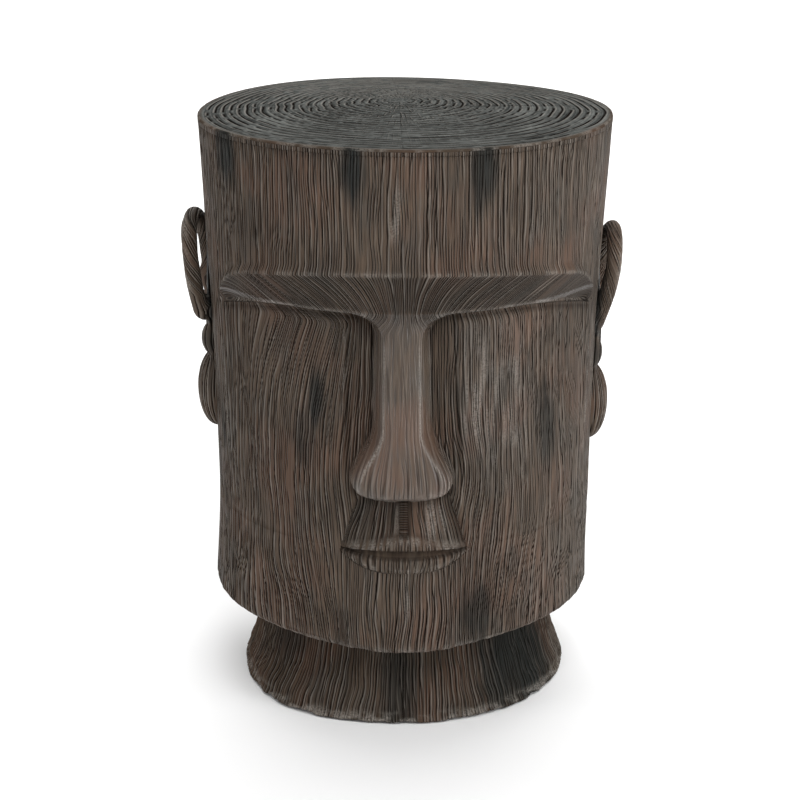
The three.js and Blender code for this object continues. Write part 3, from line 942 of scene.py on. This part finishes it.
def tabletop():
    columns = np.linspace(0, FULL_TURN, 640, endpoint=False)
    edge = barrel(HEIGHT) + out_of_round(columns, HEIGHT)
    rows = tabletop_rows(columns, edge) + rim_rows(columns, edge)
    carved = carve_head(columns, 0 * columns + SHELL_TOP - 0.01)
    bottom = HEIGHT - SLAB_EDGE
    lip = HEIGHT - RIM_ROUND - 0.3
    below = {name: carved[name] for name in PAIRS}
    below.update(tone=-0.1, stain=stain_amount(columns, bottom, FACE_STAINS))
    for share, z in ((0.4, lip), (0.8, lip - 0.9), (1, bottom)):
        rows.append({"points": on_wall(columns, edge - share * carved["depth"], z), **below})
    inside = hollow_radius(columns, HEIGHT) - 1.2
    rows += [{"points": on_wall(columns, inside, z)} for z in (bottom, bottom - SPIGOT)]
    ends = np.array([[*PITH, HEIGHT - 1.2], [0, 0, bottom - SPIGOT]])
    piece = turned_disc("tabletop", np.array([row["points"] for row in rows]), ends)
    set_rows(piece, rows, {"grey": [1, 0], "groove": [0.6, 0], "other": [0, 0]})
    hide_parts("top_slab")
    return piece


# ---- foot ----

NECK_PROFILE = (
    (134.5, 2), (133.6, 4), (132, 6), (131.3, 10), (131, 13), (129.6, 17), (128, 20), (125.6, 28),
    (122.4, 37), (119, 46), (117.2, 54), (115.8, 62), (115.1, 70), (115, 76),
)
NECK_RADIUS = 125  # nominal, for the spacing of the lines
PLATE_SEAT = Named(radius=124.4, top=18.4)
NECK_BORE = 102


def neck_noise(seed, angle, spacing, along=0, length=1):
    return noise_around(seed, angle, spacing, along, length, NECK_RADIUS)


def carve_neck(angle, z):
    waver = 1.6 * neck_noise(91, angle, 30, z, 26) + 0.5 * neck_noise(92, angle, 11, z, 12)
    course = angle + waver / NECK_RADIUS
    fine, fine_amount = comb(93, course, 2.4, z, 20, NECK_RADIUS)
    bold, bold_amount = comb(95, course, 4.6, z, 45, NECK_RADIUS)
    depth = line_depth((fine, fine_amount), (bold, bold_amount), 0.8, 1.2)
    return {
        "depth": depth - 0.5 * neck_noise(90, course, 7, z, 50),
        "fine": (fine, 0.75 * fine_amount),
        "bold": (bold, bold_amount),
        "grain": (course * NECK_RADIUS, z),
    }


def foot_outside(columns):
    """The carved flare of the foot, down to its chipped and rubbed rim."""
    radii, heights = np.array(NECK_PROFILE).T
    chips = 1.1 * neck_noise(96, columns, 9) + 0.8 * np.maximum(0, neck_noise(97, columns, 4))
    stains = NECK_STAINS + scattered_stains(6, 5, 20, 60)
    kick = 1.5 + 6 * near(columns, FULL_TURN - 42 * DEGREE, 24 * DEGREE)
    flat_sides = 3.5 * np.sin(columns) ** 6
    # painted shade on the right side of the foot
    shade = 0.5 * near(columns, 60 * DEGREE, 35 * DEGREE)
    rows = []
    for level in np.concatenate([np.linspace(75.9, 16, 34), np.linspace(14, 2, 12)]):
        low = 1 - smooth(2, 12, level)
        z = np.maximum(level + chips * (1 - smooth(2, 9, level)), NECK_RIM - 0.6)
        carved = carve_neck(columns, z)
        bulge = kick * (1 - smooth(4, 34, level)) - flat_sides * (1 - smooth(12, 60, level))
        radius = np.interp(z, heights, radii) + bulge - carved["depth"] * (1 - 0.5 * low)
        rows.append({
            "points": on_wall(columns, radius, z),
            **{name: carved[name] for name in PAIRS},
            "stain": stain_amount(columns, z, stains, NECK_RADIUS),
            "worn": 0.6 * low * smooth(-0.5, 0.5, neck_noise(98, columns, 6, z, 3)),
            # the foot painted darker all round and most at its top, as painted shadow under the head
            "tone": 0.25 * neck_noise(99, columns, 26, z, 40) - 0.4 - 0.3 * smooth(55, 75, z) - shade,
            "polish": -0.5,
        })
    return rows


def foot_casting():
    columns = np.linspace(0, FULL_TURN, 820, endpoint=False)
    rows = foot_outside(columns)
    for radius, z in (
        (PLATE_SEAT.radius, NECK_RIM + 0.5), (PLATE_SEAT.radius, PLATE_SEAT.top),
        (PLATE_SEAT.radius - 12, PLATE_SEAT.top), (NECK_BORE + 1, 60), (NECK_BORE, NECK_TOP),
        (NECK_HOLE - 0.3, NECK_TOP), (NECK_HOLE - 0.3, JAW.underside - 0.1),
    ):
        rows.append({
            "points": on_wall(columns, radius, z),
            "grain": (columns * NECK_RADIUS, z),
            "tone": -0.3,
        })
    piece = turned_ring("foot_casting", np.array([row["points"] for row in rows]))
    set_rows(piece, rows)
    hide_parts("neck_base")
    return piece


# ---- ears ----

EAR_ROUTE = (  # back, up, off the wall
    (-20, 12, 8), (-24, 34, 12), (-21, 57, 13.5), (-7, 76, 13), (14, 80, 10.5),
    (31, 62, 8.5), (37, 30, 8.5), (34, 0, 7), (24, -30, 5),
)
EAR_ROLL = 6.3
EAR_BALLS = (  # radii, then back, up and off the wall
    ((8.5, 8, 8), (-20, 11, 5)), ((9, 10, 14), (-15, -13, 0)),
    ((15, 23, 32), (-1, -58, 0)), ((4, 30, 66), (7, 10, 0)), ((17, 8.5, 18), (35.5, 26, 0)),
)
EAR_SLIMMING = {"left": 0, "right": 1}  # how much closer to the wall the front of an ear lies
EAR_VOXEL = 1.1
EAR_SINK = 1.2  # how far the back of an ear is bedded into the carved wall


def beside(side, middle, back, up, proud):
    z = middle + up
    return np.array([side * (math.sqrt(barrel(z) ** 2 - back ** 2) + proud), back, z])


def smooth_route(points, steps):
    """Catmull-Rom points through a list of places."""
    points = np.array(points)
    padded = np.vstack([2 * points[0] - points[1], points, 2 * points[-1] - points[-2]])
    route = []
    for a, b, c, d in zip(padded, padded[1:], padded[2:], padded[3:]):
        for t in np.arange(steps) / steps:
            route.append(0.5 * (2 * b + (c - a) * t + (2 * a - 5 * b + 4 * c - d) * t ** 2
                                + (3 * b - a - 3 * c + d) * t ** 3))
    return np.array(route + [points[-1]])


def slimmed(slimming, back, up, proud):
    """Brings a place at the front of an ear nearer to the wall, most at the bottom of the roll."""
    at_front = 1 - smooth(-10, 10, back)
    return back, up, proud - slimming * at_front * (2.5 + 5.5 * (1 - smooth(8, 58, up)) * (up > 0))


def ear_blank(name, side, middle, slimming):
    """The joined rough shape of an ear: balls set closely along the roll, and the larger lumps."""
    route = smooth_route([beside(side, middle, *slimmed(slimming, *place)) for place in EAR_ROUTE], 10)
    balls = [((EAR_ROLL,) * 3, place) for place in route]
    balls += [(radii, beside(side, middle, *slimmed(slimming, *place))) for radii, place in EAR_BALLS]
    vertices, faces = unit_ball(28, 18)
    all_vertices = np.vstack([vertices * np.array(radii) + place for radii, place in balls])
    all_faces = np.vstack([faces + i * len(vertices) for i in range(len(balls))])
    template = bpy.data.meshes.new("ball")
    template.from_pydata(((all_vertices + AXIS) * MM).tolist(), [], all_faces.tolist())
    shape = bpy.data.objects.new(name + "_blank", template)
    bpy.context.scene.collection.objects.link(shape)
    remesh = shape.modifiers.new("fuse", "REMESH")
    remesh.mode = "VOXEL"
    remesh.voxel_size = EAR_VOXEL * MM
    soften = shape.modifiers.new("soften", "SMOOTH")
    soften.iterations = 6
    evaluated = shape.evaluated_get(bpy.context.evaluated_depsgraph_get())
    mesh = bpy.data.meshes.new_from_object(evaluated)
    mesh.name = name
    bpy.data.objects.remove(shape)
    bpy.data.meshes.remove(template)
    return mesh, route


def unit_ball(around, up):
    """Vertices and faces of a ball; the quads next to its poles have two corners in one place."""
    level = np.linspace(0, math.pi, up + 1)[:, None]
    turn = np.arange(around) * FULL_TURN / around
    faces, _ = quads(up + 1, around, False, True)
    return on_wall(turn, np.sin(level), np.cos(level)).reshape(-1, 3), faces


def vertex_vectors(collection, name):
    vectors = np.zeros(len(collection) * 3)
    collection.foreach_get(name, vectors)
    return vectors.reshape(-1, 3)


def ear_lines(seed, across, spacing, along, length):
    """Carved lines that follow the curl of an ear: phase and presence, as for the head."""
    phase = across / spacing + 0.6 * lattice_noise(seed, across / (5 * spacing), along / length)
    return phase, smooth(-0.35, 0.3, lattice_noise(seed + 1, phase, along / length))


def ear_course(places, route, side, middle):
    """How far round the roll or the lobe each place lies, and how far along it."""
    arc = np.concatenate([[0], np.cumsum(np.linalg.norm(np.diff(route, axis=0), axis=1))])
    far = np.linalg.norm(places[:, None, :] - route[None, :, :], axis=2)
    nearest = far.argmin(axis=1)
    on_roll = far.min(axis=1) < EAR_ROLL + 3
    tangent = np.gradient(route, axis=0)
    tangent = tangent / np.linalg.norm(tangent, axis=1)[:, None]
    off = places - route[nearest]
    outward = np.array([side, 0, 0])
    across_axis = np.cross(tangent[nearest], outward)
    around_roll = np.arctan2((off * across_axis).sum(axis=1), off @ outward) * EAR_ROLL
    twist = 0.6 * np.maximum(0, places[:, 2] - middle - 25)
    from_wall = side * places[:, 0] - barrel(places[:, 2])
    around_lobe = np.arctan2(from_wall + 4, places[:, 1]) * 18
    across = np.where(on_roll, around_roll + twist, 300 + around_lobe)
    return across, np.where(on_roll, arc[nearest], places[:, 2])


def ear_casting(side_name, side):
    name = f"{side_name}_ear_casting"
    middle = EAR_MIDDLE[side_name]
    mesh, route = ear_blank(name, side, middle, EAR_SLIMMING[side_name])
    places = vertex_vectors(mesh.vertices, "co") / MM - AXIS
    across, along = ear_course(places, route, side, middle)
    wave = 1.2 * lattice_noise(101, across / 12, along / 14)
    fine = ear_lines(102, across + wave, 2.0, along, 22)
    bold = ear_lines(104, across + wave, 4.2, along, 45)
    depth = line_depth(fine, bold, 0.6, 0.9) - 0.3 * lattice_noise(106, across / 6, along / 40)
    places = places - vertex_vectors(mesh.vertex_normals, "vector") * depth[:, None]
    turn = np.arctan2(places[:, 0], -places[:, 1])
    seat = barrel(places[:, 2]) + out_of_round(turn, places[:, 2]) - EAR_SINK
    radius = np.hypot(places[:, 0], places[:, 1])
    places[:, :2] *= (np.maximum(seat, radius) / radius)[:, None]
    mesh.vertices.foreach_set("co", ((places + AXIS) * MM).ravel())
    mesh.update()
    mesh.shade_smooth()
    piece = bpy.data.objects.new(name, mesh)
    bpy.context.scene.collection.objects.link(piece)
    proud = radius - seat
    up = places[:, 2] - middle
    ragged = smooth(-0.5, 0.5, lattice_noise(105, across / 4, along / 9))
    # painted shadow where the ear meets the wall
    shadow = 0.4 * (1 - smooth(2, 10, proud))
    # painted shade in the ear's hollow by the wall, stored with the stains
    hollow = 0.9 * (1 - smooth(2, 8, proud)) * (up > 0)
    # the most proud parts paler: partly worn, partly painted highlight
    set_field(piece, "worn", 0.55 * smooth(13, 19, proud) * ragged)
    set_field(piece, "stain", np.maximum(0.6 * near(up, -14, 14), hollow))
    set_field(piece, "tone", 0.15 + 0.2 * lattice_noise(107, across / 15, along / 30) - shadow)
    set_pair(piece, "fine", *fine)
    set_pair(piece, "bold", *bold)
    set_pair(piece, "grain", across, along)
    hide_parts(f"{side_name}_ear")
    return piece


# ---- node materials ----

# The groove colour darkens the carved lines, partly dark wash and partly painted shade, and paints the
# shade in the corners; the pale worn colour also paints highlights.
BROWN = Named(
    deep=(0.048, 0.034, 0.025), pale=(0.110, 0.080, 0.058), warm=(0.118, 0.069, 0.048),
    cool=(0.064, 0.058, 0.050), groove=(0.007, 0.005, 0.004), worn=(0.31, 0.285, 0.255),
)
GREY = Named(deep=(0.030, 0.032, 0.031), pale=(0.120, 0.124, 0.117))
CHARCOAL = (0.013, 0.0165, 0.0165)


class Finish:
    """A new material, with short ways to add nodes to it."""

    def __init__(self, name):
        self.material = bpy.data.materials.new(name)
        self.material.use_nodes = True
        self.tree = self.material.node_tree

    def feed(self, node, inputs):
        """Sets or links inputs by name or number; a colour may leave out its alpha."""
        for name, value in inputs.items():
            socket = node.inputs[name]
            if isinstance(value, bpy.types.NodeSocket):
                self.tree.links.new(value, socket)
            elif isinstance(value, tuple) and len(value) < len(socket.default_value):
                socket.default_value = (*value, 1)
            else:
                socket.default_value = value

    def node(self, kind, inputs, **settings):
        node = self.tree.nodes.new("ShaderNode" + kind)
        for name, value in settings.items():
            setattr(node, name, value)
        self.feed(node, inputs)
        return node

    def surface(self, **inputs):
        """Feeds the shader, with _ for a space in a name, and returns the material."""
        shader = self.tree.nodes["Principled BSDF"]
        self.feed(shader, {name.replace("_", " "): value for name, value in inputs.items()})
        return self.material

    def stored(self, name, output="Fac"):
        """What the meshes store under this name."""
        return self.node("Attribute", {}, attribute_name=name).outputs[output]

    def mix(self, share, first, second):
        return self.node("Mix", {0: share, 6: first, 7: second}, data_type="RGBA").outputs[2]

    def calc(self, kind, *values, clamp=False):
        return self.node("Math", dict(enumerate(values)), operation=kind, use_clamp=clamp).outputs[0]

    def remap(self, value, from_low, from_high, to_low=0.0, to_high=1.0, kind="LINEAR"):
        inputs = dict(enumerate((value, from_low, from_high, to_low, to_high)))
        return self.node("MapRange", inputs, interpolation_type=kind).outputs[0]

    def fibres(self, grain, across, along, detail):
        """Noise stretched along the grain: cells per millimetre across and along it."""
        place = self.node("VectorMath", {0: grain, 1: (across, along, 1)}, operation="MULTIPLY")
        inputs = {"Vector": place.outputs[0], "Scale": 1.0, "Detail": detail, "Roughness": 0.6}
        return self.node("TexNoise", inputs).outputs[0]

    def speckle(self, scale, detail):
        place = self.node("TexCoord", {}).outputs["Object"]
        return self.node("TexNoise", {"Vector": place, "Scale": scale, "Detail": detail}).outputs[0]

    def bump(self, strength, distance, height, **below):
        inputs = {"Strength": strength, "Distance": distance, "Height": height, **below}
        return self.node("Bump", inputs).outputs[0]


def carved_line(finish, name, width):
    """A carved line's darkness, partly dark wash and partly painted shade, the painted highlight along
    one side of it, and the fall into it.
    """
    calc = finish.calc
    pair = finish.node("SeparateXYZ", {0: finish.stored(name, "Vector")})
    phase, presence = pair.outputs[0], pair.outputs[1]
    off = calc("ABSOLUTE", calc("SINE", calc("MULTIPLY", phase, math.pi)))
    dark = finish.remap(off, 0.4 * width, 1.7 * width, presence, 0.0, "SMOOTHSTEP")
    fall = calc("MULTIPLY", calc("SUBTRACT", 1.0, calc("POWER", off, 0.7)), presence)
    beside = calc("SINE", calc("MULTIPLY", phase, 2 * math.pi))
    return dark, calc("MULTIPLY", finish.remap(beside, 0.55, 1.0), presence), fall


def stained_brown(finish, grain, share):
    """Brown of the castings, with broad reddish and grey-green drifts along the grain."""
    brown = finish.mix(share, BROWN.deep, BROWN.pale)
    warm = finish.remap(finish.speckle(17, 2.0), 0.46, 0.62, 0, 0.62)
    cool = finish.remap(finish.fibres(grain, 0.05, 0.02, 2.0), 0.50, 0.70, 0, 0.5)
    return finish.mix(cool, finish.mix(warm, brown, BROWN.warm), BROWN.cool)


def cast_wood():
    """Brown stained casting with dark grooves that are partly dark wash and partly painted shade,
    painted shade in the corners, charcoal stains, pale edges that are partly worn and partly painted
    highlight, painted highlights beside the carved lines, painted sheen and satin sealer.
    """
    finish = Finish("cast_wood")
    calc, mix, remap, stored = finish.calc, finish.mix, finish.remap, finish.stored
    grain = stored("grain", "Vector")
    thread = finish.fibres(grain, 0.55, 0.03, 3.0)
    mottle = finish.speckle(700, 2.0)
    share = remap(thread, 0.35, 0.65)
    base = mix(stored("grey"), stained_brown(finish, grain, share), mix(share, GREY.deep, GREY.pale))
    tone = remap(stored("tone"), -1, 1, 0.38, 1.38)
    toned = finish.node("VectorMath", {0: base, "Scale": tone}, operation="SCALE").outputs[0]
    stain = calc("MULTIPLY", stored("stain"), 0.92)
    fine, fine_brink_highlight, fine_fall = carved_line(finish, "fine", FINE_LINE.width)
    bold, bold_brink_highlight, bold_fall = carved_line(finish, "bold", BOLD_LINE.width)
    # dark: the carved lines, partly dark wash and partly painted shade, and the groove field, which is
    # painted shade in the corners and the check's dark on the tabletop
    dark = calc("MAXIMUM", stored("groove"), calc("MAXIMUM", fine, bold))
    # painted highlight on each line's brink, weaker in the stains
    clean = calc("MULTIPLY_ADD", stain, -0.3, 0.36)
    brink_highlight = calc("MULTIPLY", calc("MAXIMUM", fine_brink_highlight, bold_brink_highlight), clean)
    # rubbed edges with painted highlights and painted sheen
    rubbed_and_highlit = calc("MULTIPLY", stored("worn"), remap(mottle, 0.3, 0.6))
    colour = mix(stain, toned, CHARCOAL)
    colour = mix(brink_highlight, colour, BROWN.worn)
    colour = mix(calc("MULTIPLY", dark, 0.95), colour, BROWN.groove)
    polished = stored("polish")
    rough = calc("MULTIPLY_ADD", dark, 0.3, remap(mottle, 0.3, 0.7, 0.58, 0.5))
    gloss = calc("MULTIPLY_ADD", polished, 0.38, 0.1, clamp=True)
    fall = calc("MULTIPLY_ADD", bold_fall, 0.8, fine_fall)
    relief = finish.bump(0.7, 0.0006, thread)
    relief = finish.bump(1.0, 0.0012, remap(fall, 0, 2, 2, 0), Normal=relief)
    relief = finish.bump(0.12, 0.0003, mottle, Normal=relief)
    return finish.surface(
        Base_Color=mix(rubbed_and_highlit, colour, BROWN.worn),
        Roughness=calc("MULTIPLY_ADD", polished, -0.2, rough),
        Specular_IOR_Level=calc("MULTIPLY", gloss, remap(dark, 0, 1, 1, 0.1)),
        Normal=relief,
    )


def plain_finish(name, dark, light, scale, roughness, bump, metallic):
    """A mottled finish for the pieces underneath and inside."""
    finish = Finish(name)
    noise = finish.speckle(scale, 5.0)
    return finish.surface(
        Base_Color=finish.mix(finish.remap(noise, 0.3, 0.7), dark, light),
        Roughness=finish.remap(noise, 0.3, 0.7, roughness + 0.08, roughness - 0.08),
        Normal=finish.bump(0.5, bump, noise),
        Metallic=metallic,
    )


def woven_finish():
    """Open glass-fibre weave set in cement slurry."""
    finish = Finish("glass_weave")
    place = finish.node("TexCoord", {}).outputs["Object"]
    inputs = {"Vector": place, "Scale": 95.0, "Distortion": 0.6, "Detail": 1.0}
    bands = [finish.node("TexWave", inputs, bands_direction=way).outputs["Fac"] for way in ("X", "Z")]
    weave = finish.calc("MAXIMUM", *bands)
    yarn = finish.mix(weave, (0.28, 0.27, 0.24), (0.62, 0.60, 0.53))
    slurry = finish.remap(finish.speckle(60, 4.0), 0.45, 0.7)
    return finish.surface(
        Base_Color=finish.mix(slurry, yarn, (0.34, 0.33, 0.30)),
        Roughness=0.8,
        Normal=finish.bump(0.6, 0.0008, weave),
    )


# ---- putting the pieces together ----

def wear(piece, material):
    piece.data.materials.clear()
    piece.data.materials.append(material)


brown_wood = cast_wood()
castings = head_castings() + [foot_casting(), ear_casting("left", -1), ear_casting("right", 1)]
for casting in castings:
    wear(casting, brown_wood)
    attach(casting, "root")
top = tabletop()
wear(top, brown_wood)
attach(top, "root")

PLAIN_FINISHES = (  # slot, name, dark, light, speckle scale, roughness, bump height and metal
    ("raw_casting", "raw_cement", (0.24, 0.23, 0.21), (0.38, 0.37, 0.34), 140, 0.88, 0.0009, 0),
    ("fibre_rod", "fibre_rod", (0.34, 0.30, 0.18), (0.52, 0.47, 0.30), 700, 0.5, 0.0002, 0),
    ("foot_rubber", "foot_rubber", (0.01, 0.01, 0.01), (0.022, 0.022, 0.022), 900, 0.75, 0.0002, 0),
    ("zinc_steel", "zinc_steel", (0.5, 0.5, 0.51), (0.68, 0.68, 0.69), 1200, 0.32, 0.0001, 1),
)
HARDWARE = {slot: plain_finish(*look) for slot, *look in PLAIN_FINISHES}
HARDWARE["glass_fibre"] = woven_finish()
for part in frame["record"]["subparts"]:
    if part["material_slot"] in HARDWARE:
        wear(frame["nodes"][part["node"]], HARDWARE[part["material_slot"]])


# ---- studio ----

def studio_floor():
    side = 12
    corners = np.array([(-side, -side, 0), (side, -side, 0), (side, side, 0), (-side, side, 0)], float)
    mesh = bpy.data.meshes.new("studio_floor")
    mesh.from_pydata(corners.tolist(), [], [(0, 1, 2, 3)])
    floor = bpy.data.objects.new("studio_floor", mesh)
    bpy.context.scene.collection.objects.link(floor)
    paint = Finish("floor_paint")
    wear(floor, paint.surface(Base_Color=(0.93, 0.93, 0.93), Roughness=0.9, Specular_IOR_Level=0.1))


def soft_light(name, place, target, size, power):
    data = bpy.data.lights.new(name, "AREA")
    data.shape = "RECTANGLE"
    data.size, data.size_y = size
    data.energy = power
    light = bpy.data.objects.new(name, data)
    light.location = place
    light.rotation_euler = (Vector(target) - Vector(place)).to_track_quat("-Z", "Y").to_euler()
    bpy.context.scene.collection.objects.link(light)


def studio_lights():
    middle = (0, 0, 0.25)
    soft_light("key", (0.5, -1.7, 2.3), middle, (1.6, 1.2), 34)
    soft_light("right_box", (1.6, -1.0, 0.76), middle, (0.45, 1.5), 19)
    soft_light("left_box", (-1.8, -0.8, 0.8), middle, (0.25, 1.5), 9)
    soft_light("backdrop", (0, 3.2, 3.4), (0, 2.8, 0), (6.0, 4.5), 280)
    world = bpy.data.worlds.new("studio")
    world.use_nodes = True
    world.node_tree.nodes["Background"].inputs[0].default_value = (1, 1, 1, 1)
    world.node_tree.nodes["Background"].inputs[1].default_value = 0.32
    bpy.context.scene.world = world


CAMERA = Named(back=1559, height=739.3, pitch=18.363, lens=91.34, shift=-0.005)


def studio_camera():
    data = bpy.data.cameras.new("camera")
    data.lens = CAMERA.lens
    data.sensor_width = 36
    data.shift_x = CAMERA.shift
    camera = bpy.data.objects.new("camera", data)
    camera.location = Vector((AXIS[0], AXIS[1] - CAMERA.back, CAMERA.height)) * MM
    camera.rotation_euler = ((90 - CAMERA.pitch) * DEGREE, 0, 0)
    bpy.context.scene.collection.objects.link(camera)
    bpy.context.scene.camera = camera


studio_floor()
studio_lights()
studio_camera()
bpy.context.scene.view_settings.view_transform = "Standard"
